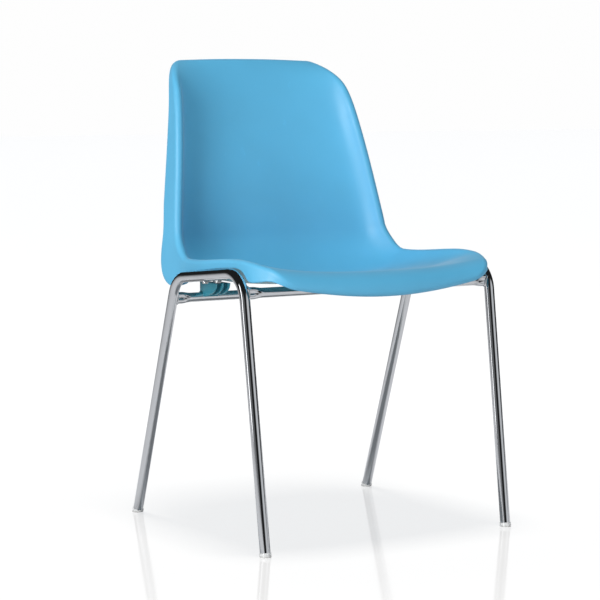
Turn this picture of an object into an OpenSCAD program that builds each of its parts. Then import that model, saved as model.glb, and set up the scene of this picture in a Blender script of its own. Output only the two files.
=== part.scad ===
// Stacking chair: a one-piece moulded shell on a bent tube frame.
// Origin on the floor under the middle of the whole chair, X across, front towards -Y, +Z up.

/* [Shell] */
// Length of the seat line between the rolled front edge and the back curve
seat_run = 255; // [243:1:265]
// Length of the back line above the back curve
back_run = 312; // [280:1:325]
// Half width of the seat between its rims
seat_half = 216; // [205:1:217]
// Half width of the back at its top, before the corners are rounded
back_half = 155; // [145:1:164]
// How deep the seat and back are dished below their side rims
dish = 42; // [30:1:48]
// Extra depth of the dish where the seat turns up into the back
dish_bend = 9; // [0:1:12]
// How sharply the dish rises towards its rims
dish_power = 2.6; // [2.2:0.1:3.2]
// Wall thickness of the moulding
wall = 4; // [3:0.5:5]
// Radius at which the rim rolls over, at the middle of the wall
roll_r = 6; // [5:0.5:7]
// Depth of the turned-over edge along the seat
skirt = 24; // [18:1:27]

/* [Frame] */
// Outer diameter of the side frame tube
tube_d = 17; // [16:0.5:18]
// Outer diameter of the two crossbars
bar_d = 16; // [15:0.5:17]
// Wall of every tube
tube_wall = 1.5; // [1.2:0.1:2]
// Distance of each side frame from the middle plane
frame_x = 239; // [239:0.5:246]
// Distance between the front and rear feet on the floor
foot_span = 442; // [430:1:450]
// Bend radius of the side frame
bend_r = 50; // [44:1:52]
// Height of the front crossbar
front_bar_z = 415; // [411:1:416]
// Height of the rear crossbar
rear_bar_z = 388; // [384:1:389]

/* [Fixings] */
// Diameter of the fixing screws
screw_d = 5; // [4:0.5:6]
// Distance between the two screws of one plate
screw_pitch = 44; // [36:1:48]
// Thickness of the welded fixing plates
plate_t = 3; // [2.5:0.5:4]

/* [Hidden] */

shell_blue = "#63b6e0";
chrome = "#c9ccd1";
zinc = "#b4b6b8";
clear_white = "#eef0f0";

// Side frame in its own YZ plane: the two corners before they are bent
front_lean = 8;
rear_lean = 19.65;
toe_in = 0.5;
front_corner_z = 448.5;
rear_corner_z = 425;
feet_mid_y = -14.5;
front_foot = [feet_mid_y - foot_span / 2, 0];
rear_foot = [feet_mid_y + foot_span / 2, 0];
front_corner = front_foot + front_corner_z * [tan(front_lean), 1];
rear_corner = rear_foot + rear_corner_z * [-tan(rear_lean), 1];
rail_slope = atan2(rear_corner.y - front_corner.y, rear_corner.x - front_corner.x);
tube_r = tube_d / 2;
bar_r = bar_d / 2;

// Middle of each fixing plate along its rail
plate_y = -12.5;

// ---------------------------------------------------------------- shell form
// Centre line of the shell in the YZ plane: [length, turn in degrees] of each stretch,
// from the front lip over the seat and up the back
lip_start = [-240.5, 407];
lip_heading = 96;
lip_run = 60;
bend_run = 145;
stretches = [[lip_run, -108], [seat_run, 8], [bend_run, 86], [back_run, -16]];
line_length = lip_run + seat_run + bend_run + back_run;
bend_mid = lip_run + seat_run + 0.55 * bend_run;

// End of a stretch that starts at p with heading h and turns evenly
function arc_end(p, h, length, turn) =
    p + length / (turn * PI / 180)
        * [sin(h + turn) - sin(h), cos(h) - cos(h + turn)];

// Place and heading on the centre line at distance s: [point, heading]
function centre(s, i = 0, p = lip_start, h = lip_heading) =
    let (run = stretches[i][0], turn = stretches[i][1], last = i == len(stretches) - 1)
    (s <= run || last)
        ? (abs(s) < 0.001 ? [p, h] : [arc_end(p, h, s, turn * s / run), h + turn * s / run])
        : centre(s - run, i + 1, arc_end(p, h, run, turn), h + turn);

// A straight ramp from zero that starts gently at s = 0
function ramp(s, softness) = (sqrt(s * s + softness * softness) + s) / 2;
function hump(s, middle, width) = exp(-pow((s - middle) / width, 2));
function smooth_step(t) = let (u = min(max(t, 0), 1)) u * u * (3 - 2 * u);

// Half width of the shell before its corners are rounded
waist_start = 250;
waist_rate = 0.0625;
taper_start = lip_run + seat_run + bend_run;
taper_rate = (seat_half - back_half - waist_rate * (line_length - waist_start))
    / (line_length - taper_start);
function half_width(s) = seat_half - waist_rate * ramp(s - waist_start, 25)
    - taper_rate * ramp(s - taper_start, 25);

// Depth of the dish under its rims: none at the top edge, and the front edge bows forward
front_bow = 30;
dish_start = 60;
top_fade = 129;
function dish_depth(s) =
    let (front = dish - (dish + front_bow) * exp(-s / dish_start),
         u = max(0, (s - line_length + top_fade) / top_fade))
    (front + dish_bend * hump(s, bend_mid, 75)) * (1 - pow(u, 3.3));

// Height of the surface over the middle of the dish: a shallow bowl with steep flanks just
// inside the rims, which fade out towards the front and the top edge
flank_share = 0.4;
flank_power = 18;
function lift(x, s) =
    let (u = abs(x) / half_width(s),
         top = smooth_step((s - line_length + top_fade) / top_fade),
         steep = flank_share * smooth_step((s - lip_run) / 100) * (1 - top))
    dish_depth(s) * ((1 - steep) * pow(u, dish_power) + steep * pow(u, flank_power));

// Depth of the turned-over edge: deepest where the seat meets the back, cut out over the rails
corner_skirt = 38;
notch_depth = 19;
notch_mid = lip_run + 140;
notch_half = 98;
plate_s = lip_run + 190;
skirt_fade = 229;
back_skirt = 4;
function skirt_depth(s) =
    let (u = max(0, (s - line_length + skirt_fade) / skirt_fade),
         bends = 0.3 * corner_skirt * hump(s, bend_mid, 130)
             + 0.7 * corner_skirt * hump(s, bend_mid - 6, 45),
         notch = notch_depth * exp(-pow((s - notch_mid) / notch_half, 14)),
         back = back_skirt * smooth_step((s - taper_start) / 60))
    2 + (skirt + bends + back - notch) * smooth_step((s - 15) / 85) * (1 - pow(u, 1.8));

// Point of the middle surface and its normal, for x across and s along the centre line
function on_surface(x, s) =
    let (c = centre(s), h = c[1], n = lift(x, s))
    [x, c[0].x - n * sin(h), c[0].y + n * cos(h)];
function unit(v) = v / norm(v);
nudge = 0.5;
function surface_normal(x, s) =
    unit(cross(on_surface(x + nudge, s) - on_surface(x - nudge, s),
               on_surface(x, s + nudge) - on_surface(x, s - nudge)));

// Outline of the shell as [x, s], from the middle of the front edge to the middle of the top
front_edge_half = 170;
front_edge_bow = 0.0007;
front_edge_s = 5.3;
top_corner_in = 26;
top_corner_run = 68;
side_start = 98;
front_corner_half = half_width(side_start);
front_corner_run = side_start - front_edge_s - front_edge_bow * pow(front_corner_half, 2);
side_end = line_length - top_corner_run;
outline_steps = [5, 7, 24, 7, 4];
function outline_part(part, t) =
    part == 0 ? let (x = front_edge_half * t) [x, front_edge_s + front_edge_bow * x * x]
    : part == 1 ? let (x = front_edge_half + (front_corner_half - front_edge_half) * sin(90 * t))
        [x, front_edge_s + front_edge_bow * x * x + front_corner_run * (1 - cos(90 * t))]
    : part == 2 ? let (s = side_start + (side_end - side_start) * t) [half_width(s), s]
    : part == 3 ? let (s = side_end + top_corner_run * sin(90 * t))
        [half_width(s) - top_corner_in * (1 - cos(90 * t)), s]
    : [(half_width(line_length) - top_corner_in) * (1 - t), line_length];
half_outline = concat(
    [for (part = [0:4]) for (k = [0:outline_steps[part] - 1])
        outline_part(part, k / outline_steps[part])],
    [[0, line_length]]);
half_count = len(half_outline);
outline = concat(half_outline,
    [for (k = [half_count - 2:-1:1]) [-half_outline[k].x, half_outline[k].y]]);
around = len(outline);

// Rings of the dish run from a spine on the middle plane out to the outline
spine_start = 70;
spine_end = line_length - 120;
dish_rings = [0.05, 0.32, 0.56, 0.74, 0.85, 0.92, 0.96, 0.985, 1];
roll_steps = 4;
skirt_steps = 2;
flare = 4;
function ring_place(k, i) =
    let (b = outline[i], m = [0, min(max(b.y, spine_start), spine_end)])
    m + dish_rings[k] * (b - m);

// The rolled rim and the skirt hang from each outline point: [point, normal] for each ring
function edge_rings(i) =
    let (b = outline[i], before = outline[(i + around - 1) % around],
         after = outline[(i + 1) % around],
         rim = on_surface(b.x, b.y), n = surface_normal(b.x, b.y),
         along = unit(on_surface(after.x, after.y) - on_surface(before.x, before.y)),
         out = unit(cross(along, n)),
         h = centre(b.y)[1],
         side = sin(flare) * sign(b.x) * min(1, abs(b.x) / front_edge_half),
         down = unit([side, sin(h), -cos(h)]),
         turn = acos(out * down),
         across = (down - out * cos(turn)) / sin(turn),
         roll_end = rim + roll_r * (sin(turn) * out + (1 - cos(turn)) * across))
    concat(
        [for (k = [1:roll_steps]) let (a = turn * k / roll_steps)
            [rim + roll_r * (sin(a) * out + (1 - cos(a)) * across),
             sin(a) * out - cos(a) * across]],
        [for (k = [1:skirt_steps])
            [roll_end + skirt_depth(b.y) * k / skirt_steps * down,
             sin(turn) * out - cos(turn) * across]]);

edges = [for (i = [0:around - 1]) edge_rings(i)];
middle = concat(
    [for (k = [0:len(dish_rings) - 1]) [for (i = [0:around - 1]) let (q = ring_place(k, i))
        [on_surface(q.x, q.y), surface_normal(q.x, q.y)]]],
    [for (k = [0:roll_steps + skirt_steps - 1]) [for (i = [0:around - 1]) edges[i][k]]]);
rings = len(middle);

// Two skins, one on each side of the middle surface, joined along the free edge
function skin(side) =
    [for (ring = middle) for (m = ring) m[0] + side * wall / 2 * m[1]];
function corner(side, k, i) = (side * rings + k) * around + i % around;
function quad(a, b, c, d) = [[a, b, c], [a, c, d]];
function fan(side, apex, from, to) =
    [for (k = [from:to - 1]) [corner(side, 0, apex), corner(side, 0, k + 1), corner(side, 0, k)]];
side_first = outline_steps[0] + outline_steps[1];
side_last = side_first + outline_steps[2];
function skin_quads(side) = concat(
    [for (k = [0:rings - 2]) for (i = [0:around - 1])
        each quad(corner(side, k, i), corner(side, k, i + 1),
                  corner(side, k + 1, i + 1), corner(side, k + 1, i))],
    fan(side, side_first, around - side_first, around + side_first - 1),
    [for (i = [side_first:side_last - 1])
        each quad(corner(side, 0, i), corner(side, 0, around - i),
                  corner(side, 0, around - i - 1), corner(side, 0, i + 1))],
    fan(side, side_last, side_last + 1, around - side_last));
function flip(faces) = [for (f = faces) [f[2], f[1], f[0]]];
rim_strip = [for (i = [0:around - 1])
    each quad(corner(0, rings - 1, i), corner(0, rings - 1, i + 1),
              corner(1, rings - 1, i + 1), corner(1, rings - 1, i))];

module moulding() {
    polyhedron(points = concat(skin(1), skin(-1)),
        faces = concat(skin_quads(0), flip(skin_quads(1)), rim_strip));
}

// ---------------------------------------------------------------- fixings
plate_length = 76;
plate_in = 198;
plate_out = frame_x + 5;
rail_mid_z = front_corner.y + (plate_y - front_corner.x) * tan(rail_slope);
plate_top = -tube_r + 1.5;
boss_x = 209;
boss_d = 12;
pilot_d = 4;
head_d = 11;
head_h = 3.2;
washer_t = 1.2;
washer_d = 14;
pilot_depth = 18;

// Children are placed in the frame of the rail: origin on its axis above the plate
module at_rail() {
    translate([0, plate_y, rail_mid_z]) rotate([rail_slope, 0, 0]) children();
}

module at_screws(side, which = [-1, 1]) {
    at_rail() for (k = which) translate([side * boss_x, k * screw_pitch / 2, 0]) children();
}

// Bosses under the seat for the screws, each cut off along the slope of the seat above it
module bosses() {
    boss_h = 40;
    for (side = [-1, 1]) for (k = [-1, 1]) {
        seat_s = plate_s + k * screw_pitch / 2;
        difference() {
            at_screws(side, [k]) translate([0, 0, plate_top + 0.05]) difference() {
                cylinder(h = boss_h, d = boss_d, $fn = 24);
                translate([0, 0, -1]) cylinder(h = pilot_depth + 1, d = pilot_d, $fn = 24);
            }
            above_seat(on_surface(side * boss_x, seat_s),
                surface_normal(side * boss_x, seat_s), boss_h);
        }
    }
}

// Block that stands on the middle surface of the seat at p, square to its normal n
module above_seat(p, n, size) {
    translate(p) rotate([0, acos(n.z), atan2(n.y, n.x)])
        translate([-size / 2, -size / 2, 0]) cube(size);
}

module shell() {
    color(shell_blue) union() {
        moulding();
        bosses();
    }
}

module fixing_plate(side) {
    corner_r = 6;
    color(chrome) at_rail() difference() {
        translate([0, 0, plate_top - plate_t]) linear_extrude(plate_t)
            plate_outline(side, corner_r);
        rotate([90, 0, 0]) translate([side * frame_x, 0, 0])
            cylinder(h = plate_length + 2, r = tube_r, center = true, $fn = 64);
        for (k = [-1, 1]) translate([side * boss_x, k * screw_pitch / 2, -tube_r - plate_t])
            cylinder(h = 2 * plate_t + 2, d = screw_d + 0.6, $fn = 32);
    }
}

module plate_outline(side, r) {
    x0 = side * plate_in;
    x1 = side * plate_out;
    union() {
        for (k = [-1, 1]) translate([x0 + side * r, k * (plate_length / 2 - r)])
            circle(r = r, $fn = 32);
        translate([min(x0, x0 + side * r), -plate_length / 2 + r])
            square([r, plate_length - 2 * r]);
        translate([min(x0 + side * r, x1), -plate_length / 2])
            square([plate_out - plate_in - r, plate_length]);
    }
}

module washers(side) {
    color(zinc) at_screws(side) translate([0, 0, plate_top - plate_t - washer_t])
        difference() {
            cylinder(h = washer_t, d = washer_d, $fn = 48);
            translate([0, 0, -1]) cylinder(h = washer_t + 2, d = screw_d + 0.5, $fn = 32);
        }
}

module screw(side, k) {
    head_base = plate_top - plate_t - washer_t;
    socket_d = 5;
    color(zinc) at_screws(side, [k]) {
        difference() {
            translate([0, 0, head_base - head_h]) rotate_extrude($fn = 48)
                screw_profile(head_base);
            translate([0, 0, head_base - head_h - 1]) cylinder(h = 2.8, d = socket_d, $fn = 6);
        }
    }
}

// Pan head below, shank through washer and plate, then the thread's core in the boss
module screw_profile(head_base) {
    plate_run = washer_t + plate_t + 0.4;
    polygon([[0, 0], [head_d / 2 - 1.6, 0], [head_d / 2 - 0.4, 0.8], [head_d / 2, head_h - 0.6],
        [head_d / 2, head_h], [screw_d / 2, head_h], [screw_d / 2, head_h + plate_run],
        [pilot_d / 2, head_h + plate_run + 0.3], [pilot_d / 2, head_h + plate_run + 11],
        [0, head_h + plate_run + 12.5]]);
}

// ---------------------------------------------------------------- frame
foot_cut = 6.5;
front_dir = unit(front_corner - front_foot);
rear_dir = unit(rear_corner - rear_foot);
rail_dir = unit(rear_corner - front_corner);
front_turn = acos(front_dir * rail_dir);
rear_turn = acos(-rear_dir * rail_dir);
front_setback = bend_r * tan(front_turn / 2);
rear_setback = bend_r * tan(rear_turn / 2);
bore_r = tube_r - tube_wall;

front_top = front_corner - front_setback * front_dir;
rear_top = rear_corner - rear_setback * rear_dir;

// One bent tube, close to the YZ plane: front leg, bend, rail, bend, rear leg
module side_frame(side) {
    color(chrome) translate([side * frame_x, 0, 0]) union() {
        toed_in(side) straight(front_foot + foot_cut * front_dir, front_top);
        bend(front_top, front_dir, front_turn);
        straight(front_corner + front_setback * rail_dir, rear_corner - rear_setback * rail_dir);
        bend(rear_corner - rear_setback * rail_dir, rail_dir, rear_turn);
        straight(rear_foot + foot_cut * rear_dir, rear_top);
    }
}

// The front legs lean inwards a little below their bends
module toed_in(side) {
    translate([0, front_top.x, front_top.y]) rotate([0, side * toe_in, 0])
        translate([0, -front_top.x, -front_top.y]) children();
}

// Stretch of round tube between two points of the YZ plane
module straight(a, b) {
    difference() {
        between(a, b) cylinder(h = norm(b - a), r = tube_r, $fn = 48);
        between(a, b) translate([0, 0, -1]) cylinder(h = norm(b - a) + 2, r = bore_r, $fn = 48);
    }
}

// Children stand at a and point towards b, both in the YZ plane
module between(a, b) {
    d = b - a;
    translate([0, a.x, a.y]) rotate([-atan2(d.x, d.y), 0, 0]) children();
}

// Bend that starts at p along d and turns clockwise seen from +X. The tube draws a little
// thinner where it is bent, and the bend runs a short way into the straights at its ends.
module bend(p, d, turn) {
    draw = 0.03;
    run_in = 0.6;
    mid = p + bend_r * [d.y, -d.x];
    start = atan2(p.y - mid.y, p.x - mid.x);
    extra = run_in / bend_r * 180 / PI;
    translate([0, mid.x, mid.y]) rotate([90, 0, 90]) rotate([0, 0, start - turn - extra])
        rotate_extrude(angle = turn + 2 * extra, $fn = 96) translate([bend_r, 0]) difference() {
            circle(r = tube_r - draw, $fn = 48);
            circle(r = bore_r + draw, $fn = 48);
        }
}

// Bar with crushed ends that meet the legs, which lean at its height
module crossbar(at, lean) {
    flat_h = 20;
    flat_t = 9;
    flat_from = frame_x - 15;
    round_to = frame_x - 33;
    color(chrome) difference() {
        union() {
            translate([0, at.x, at.y]) rotate([0, 90, 0])
                cylinder(h = 2 * round_to, r = bar_r, center = true, $fn = 48);
            for (side = [-1, 1]) hull() {
                translate([side * (round_to - 0.5), at.x, at.y]) rotate([0, 90, 0])
                    cylinder(h = 1, r = bar_r, center = true, $fn = 32);
                translate([side * (flat_from + 0.5), at.x, at.y])
                    flat_slice(flat_h, flat_t, 1);
            }
            for (side = [-1, 1]) translate([side * (flat_from + 7.5), at.x, at.y])
                flat_slice(flat_h, flat_t, 15);
        }
        for (side = [-1, 1]) translate([side * frame_x, at.x, at.y]) rotate([-lean, 0, 0])
            cylinder(h = 4 * bar_d, r = tube_r, center = true, $fn = 48);
        translate([0, at.x, at.y]) rotate([0, 90, 0])
            cylinder(h = 2 * round_to - bar_d, r = bar_r - tube_wall, center = true, $fn = 48);
    }
}

// Slice of a crushed tube end: a slot shape, tall in Z and thin in Y
module flat_slice(height, thick, length) {
    straight_h = height - thick;
    rotate([0, 90, 0]) union() {
        cube([straight_h, thick, length], center = true);
        for (k = [-1, 1]) translate([k * straight_h / 2, 0, 0])
            cylinder(h = length, d = thick, center = true, $fn = 32);
    }
}

// The front bar meets the legs where their bend has begun, the rear bar below the bend
bend_rise = max(0, front_bar_z - front_top.y);
front_bar_turn = asin(sin(front_lean) + bend_rise / bend_r) - front_lean;
front_bar = front_top + bend_r * [cos(front_lean) - cos(front_lean + front_bar_turn),
    sin(front_lean + front_bar_turn) - sin(front_lean)];
rear_bar = [rear_foot.x - rear_bar_z * tan(rear_lean), rear_bar_z];

// ---------------------------------------------------------------- stacking buffers
// Three curved fins on a saddle that clips over the rear crossbar
module stacking_buffer(side) {
    fin_t = 3;
    fin_pitch = 12.5;
    fin_x = 171;
    saddle_t = 2.6;
    color(shell_blue) difference() {
        union() {
            for (k = [-1:1]) translate([side * (fin_x + k * fin_pitch) - fin_t / 2, 0, 0])
                rotate([90, 0, 90]) linear_extrude(fin_t) fin_outline();
            translate([side * fin_x, rear_bar.x, rear_bar.y]) rotate([0, 90, 0])
                cylinder(h = 2 * fin_pitch + fin_t, r = bar_r + saddle_t, center = true, $fn = 48);
        }
        translate([side * fin_x, rear_bar.x, rear_bar.y]) rotate([0, 90, 0])
            cylinder(h = 3 * fin_pitch, r = bar_r, center = true, $fn = 48);
        translate([side * fin_x, rear_bar.x, rear_bar.y - bar_r - saddle_t - 3])
            cube([3 * fin_pitch, 3 * bar_d, 2 * bar_r + 6], center = true);
    }
}

// Outline of a fin in the YZ plane: upright over the bar, a quarter round in front of it
module fin_outline() {
    fin_front = 15;
    fin_tip = rear_bar.x - 15;
    fin_rear = rear_bar.x + 4;
    fin_low = 391.5;
    fin_high = 414;
    steps = 10;
    polygon(concat(
        [for (k = [0:steps]) let (a = 90 * k / steps)
            [fin_tip - (fin_tip - fin_front) * cos(a), fin_high - (fin_high - fin_low) * sin(a)]],
        [[fin_rear, rear_bar.y + bar_r + 1], [fin_rear, fin_high]]));
}

// ---------------------------------------------------------------- glides
// Cap on a leg's end with a spigot inside the tube, cut level with the floor
module glide(side, foot, dir, toe = false) {
    lean = atan2(dir.x, dir.y);
    color(clear_white) intersection() {
        translate([side * frame_x, 0, 0]) {
            if (toe) toed_in(side) glide_body(foot, lean);
            else glide_body(foot, lean);
        }
        translate([-400, -400, 0]) cube([800, 800, 60]);
    }
}

module glide_body(foot, lean) {
    cap_r = tube_r + 1;
    spigot = 18;
    translate([0, foot.x, foot.y]) rotate([-lean, 0, 0]) union() {
        translate([0, 0, -8]) cylinder(h = 8 + foot_cut, r = cap_r, $fn = 48);
        translate([0, 0, foot_cut - 1]) cylinder(h = spigot, r = bore_r, $fn = 48);
    }
}

shell();
side_frame(-1);  // left_side_frame
side_frame(1);  // right_side_frame
crossbar(front_bar, front_lean + front_bar_turn);  // front_crossbar
crossbar(rear_bar, -rear_lean);  // rear_crossbar
fixing_plate(-1);  // left_fixing_plate
fixing_plate(1);  // right_fixing_plate
screw(-1, -1);  // left_front_screw
screw(-1, 1);  // left_rear_screw
screw(1, -1);  // right_front_screw
screw(1, 1);  // right_rear_screw
washers(-1);  // left_screw_washers
washers(1);  // right_screw_washers
stacking_buffer(-1);  // left_stacking_buffer
stacking_buffer(1);  // right_stacking_buffer
glide(-1, front_foot, front_dir, true);  // front_left_glide
glide(1, front_foot, front_dir, true);  // front_right_glide
glide(-1, rear_foot, rear_dir);  // rear_left_glide
glide(1, rear_foot, rear_dir);  // rear_right_glide
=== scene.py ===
"""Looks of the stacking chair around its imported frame.

A moulded plastic shell sits on a bent, chromed tube frame in a white studio. Lengths are in
millimetres and angles in degrees until a mesh, a light or the camera is made. The dimensions are
those of the CAD model, with finer steps and small details added.
"""

import math

import bmesh
import bpy
import numpy as np
from mathutils import Matrix, Vector


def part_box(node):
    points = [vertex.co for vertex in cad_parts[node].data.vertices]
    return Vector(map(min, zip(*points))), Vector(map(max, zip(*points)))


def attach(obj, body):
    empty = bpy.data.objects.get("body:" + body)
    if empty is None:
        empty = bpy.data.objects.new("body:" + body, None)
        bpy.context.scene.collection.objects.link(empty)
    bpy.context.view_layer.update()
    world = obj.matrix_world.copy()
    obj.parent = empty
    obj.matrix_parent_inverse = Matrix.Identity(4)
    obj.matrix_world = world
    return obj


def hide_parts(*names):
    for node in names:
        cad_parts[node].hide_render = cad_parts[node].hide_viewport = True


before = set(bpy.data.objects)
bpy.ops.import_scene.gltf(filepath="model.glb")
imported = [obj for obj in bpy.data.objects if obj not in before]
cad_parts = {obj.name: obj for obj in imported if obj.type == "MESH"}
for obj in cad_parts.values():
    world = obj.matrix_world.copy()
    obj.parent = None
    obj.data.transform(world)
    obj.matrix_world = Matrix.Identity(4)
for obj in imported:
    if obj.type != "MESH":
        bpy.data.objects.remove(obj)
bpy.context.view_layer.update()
scene = bpy.context.scene
MM = 0.001
BODY = "root"
SIDES = {"left": -1, "right": 1}


def node_box(node):
    """Lowest and highest corner of a CAD node, in millimetres."""
    low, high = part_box(node)
    return np.array(low) / MM, np.array(high) / MM


def unit(v):
    return v / np.linalg.norm(v, axis=-1, keepdims=True)


def smooth_step(t):
    u = np.clip(t, 0, 1)
    return u * u * (3 - 2 * u)


# ------------------------------------------------------------------ materials
class Nodes:
    """Makers of shader nodes in one node tree. Values are output sockets, numbers or colours."""

    def __init__(self, tree):
        self.tree = tree
        self.coords = self.new("ShaderNodeTexCoord")

    def new(self, kind, **settings):
        node = self.tree.nodes.new(kind)
        for name, value in settings.items():
            setattr(node, name, value)
        return node

    def put(self, value, socket):
        """Links an output to the socket, or sets a number or colour on it."""
        if isinstance(value, bpy.types.NodeSocket):
            self.tree.links.new(value, socket)
        else:
            socket.default_value = value

    def noise(self, scale, detail=4.0, rough=0.5, stretch=None):
        """Noise in the piece's own coordinates, which stretch multiplies axis by axis."""
        source = self.coords.outputs["Object"]
        if stretch:
            mapping = self.new("ShaderNodeMapping")
            self.put(stretch, mapping.inputs["Scale"])
            self.put(source, mapping.inputs["Vector"])
            source = mapping.outputs["Vector"]
        node = self.new("ShaderNodeTexNoise")
        for name, value in (("Vector", source), ("Scale", scale), ("Detail", detail),
                            ("Roughness", rough)):
            self.put(value, node.inputs[name])
        return node.outputs["Fac"]

    def ramp(self, value, low, high, to_low=0.0, to_high=1.0):
        """Smooth change from to_low to to_high while the value goes from low to high."""
        node = self.new("ShaderNodeMapRange", interpolation_type="SMOOTHSTEP")
        for name, number in (("Value", value), ("From Min", low), ("From Max", high),
                             ("To Min", to_low), ("To Max", to_high)):
            self.put(number, node.inputs[name])
        return node.outputs["Result"]

    def mix(self, factor, a, b, kind="RGBA"):
        """From a where the factor is 0 to b where it is 1."""
        node = self.new("ShaderNodeMix", data_type=kind)
        for name, value in (("Factor", factor), ("A", a), ("B", b)):
            self.put(value, node.inputs[name])
        return node.outputs["Result"]

    def maths(self, operation, a, b):
        node = self.new("ShaderNodeMath", operation=operation)
        self.put(a, node.inputs[0])
        self.put(b, node.inputs[1])
        return node.outputs["Value"]

    def bump(self, height, strength, distance, normal=None):
        node = self.new("ShaderNodeBump")
        for name, value in (("Height", height), ("Strength", strength), ("Distance", distance)):
            self.put(value, node.inputs[name])
        if normal:
            self.put(normal, node.inputs["Normal"])
        return node.outputs["Normal"]

    def surface(self, inputs):
        """Sets or links inputs of the material's Principled shader, and gives its output."""
        shader = self.tree.nodes["Principled BSDF"]
        for name, value in inputs.items():
            self.put(value, shader.inputs[name])
        return shader.outputs["BSDF"]

    def output(self, node, factor, a, b):
        """Sends a mix of the shaders a and b to an output node."""
        both = self.new("ShaderNodeMixShader")
        for value, socket in zip((factor, a, b), both.inputs):
            self.put(value, socket)
        self.put(both.outputs["Shader"], self.tree.nodes[node].inputs["Surface"])


def new_material(name):
    material = bpy.data.materials.new(name)
    material.use_nodes = True
    return material, Nodes(material.node_tree)


def shade(colour, factor):
    return tuple(c * factor for c in colour[:3]) + (1.0,)


# The shell's colour, and a darker teal copy of it: painted shade for the shell's underside and the
# stacking buffers
SHELL_BLUE = (0.080, 0.392, 0.632, 1.0)
PAINTED_SHADE_TEAL = (0.030, 0.27, 0.36, 1.0)
CHROME = (0.77, 0.785, 0.81, 1.0)
ZINC = (0.62, 0.63, 0.64, 1.0)
MILKY_WHITE = (0.86, 0.87, 0.87, 1.0)
FLOOR_DIRT = (0.45, 0.44, 0.42, 1.0)


def moulded_plastic(name, colour, roughness, grain=0.25):
    """Polypropylene: fine spark-eroded grain, faint colour drift, dull rubbed patches, and
    painted shade: darker teal where the mesh attribute "inside" marks the underside."""
    material, nodes = new_material(name)
    drift = nodes.ramp(nodes.noise(7.0, detail=3.0), 0.3, 0.7)
    tone = nodes.mix(drift, shade(colour, 0.965), shade(colour, 1.03))
    scuffs = nodes.noise(60.0, detail=6.0, rough=0.65, stretch=(1.0, 0.22, 0.5))
    worn = nodes.mix(nodes.ramp(scuffs, 0.63, 0.72, to_high=0.22), tone, shade(colour, 1.25))
    inside = nodes.new("ShaderNodeAttribute", attribute_name="inside")
    rubbed = nodes.noise(11.0, detail=5.0, rough=0.6)
    fine = nodes.noise(1900.0, detail=2.0)
    coarse = nodes.noise(620.0, detail=2.0, rough=0.4)
    height = nodes.maths("ADD", nodes.maths("MULTIPLY", coarse, 0.7), fine)
    ripple = nodes.bump(nodes.noise(16.0, detail=1.0), 0.10, 0.002)
    nodes.surface({
        # Painted shade: where "inside" is 1 the base colour turns to the darker teal that stands
        # for the shade under the seat
        "Base Color": nodes.mix(inside.outputs["Fac"], worn, PAINTED_SHADE_TEAL),
        "Roughness": nodes.ramp(rubbed, 0.35, 0.68, roughness - 0.05, roughness + 0.07),
        "Normal": nodes.bump(height, grain, 0.00025, ripple),
        "Specular IOR Level": 0.85,
        "Sheen Weight": 0.15,
        "Sheen Roughness": 0.45,
    })
    return material


def plated_steel(name, colour, roughness):
    """Chrome plate: near-mirror, with faint draw waves, wiping marks and dull specks."""
    material, nodes = new_material(name)
    tarnish = nodes.ramp(nodes.noise(35.0, detail=5.0, rough=0.6), 0.5, 0.8)
    marks = nodes.noise(120.0, detail=5.0, rough=0.7, stretch=(1.0, 1.0, 0.12))
    wiped = nodes.ramp(marks, 0.45, 0.8, roughness, roughness + 0.10)
    specks = nodes.ramp(nodes.noise(1400.0, detail=1.0), 0.74, 0.80, to_high=0.20)
    waves = nodes.noise(90.0, detail=2.0, rough=0.4, stretch=(1.0, 1.0, 0.3))
    nodes.surface({
        "Base Color": nodes.mix(tarnish, colour, shade(colour, 0.93)),
        "Roughness": nodes.maths("ADD", wiped, specks),
        "Normal": nodes.bump(waves, 0.012, 0.0006),
        "Metallic": 1.0,
    })
    return material


def zinc_plate(name, colour):
    """Zinc-plated steel: greyish, with turning marks and slightly blotched plating."""
    material, nodes = new_material(name)
    blotch = nodes.ramp(nodes.noise(400.0, detail=5.0, rough=0.6), 0.35, 0.7)
    turned = nodes.noise(2400.0, detail=2.0, stretch=(1.0, 1.0, 4.0))
    nodes.surface({
        "Base Color": nodes.mix(blotch, shade(colour, 0.78), colour),
        "Roughness": nodes.ramp(nodes.noise(900.0, detail=3.0), 0.3, 0.7, 0.24, 0.42),
        "Normal": nodes.bump(turned, 0.2, 0.0001),
        "Metallic": 1.0,
    })
    return material


def milky_plastic(name, colour):
    """Translucent polyethylene of the glides, scuffed where it slides on the floor."""
    material, nodes = new_material(name)
    split = nodes.new("ShaderNodeSeparateXYZ")
    nodes.put(nodes.coords.outputs["Object"], split.inputs["Vector"])
    near_floor = nodes.ramp(split.outputs["Z"], 0.0, 0.0035, 1.0, 0.0)
    dirt = nodes.maths("MULTIPLY", near_floor, nodes.ramp(nodes.noise(700.0), 0.35, 0.65))
    nodes.surface({
        "Base Color": nodes.mix(dirt, colour, FLOOR_DIRT),
        "Roughness": nodes.ramp(nodes.noise(500.0), 0.3, 0.7, 0.22, 0.45),
        "Normal": nodes.bump(nodes.noise(1500.0, detail=3.0), 0.25, 0.0001),
        "Transmission Weight": 0.35,
        "IOR": 1.5,
    })
    return material


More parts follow.
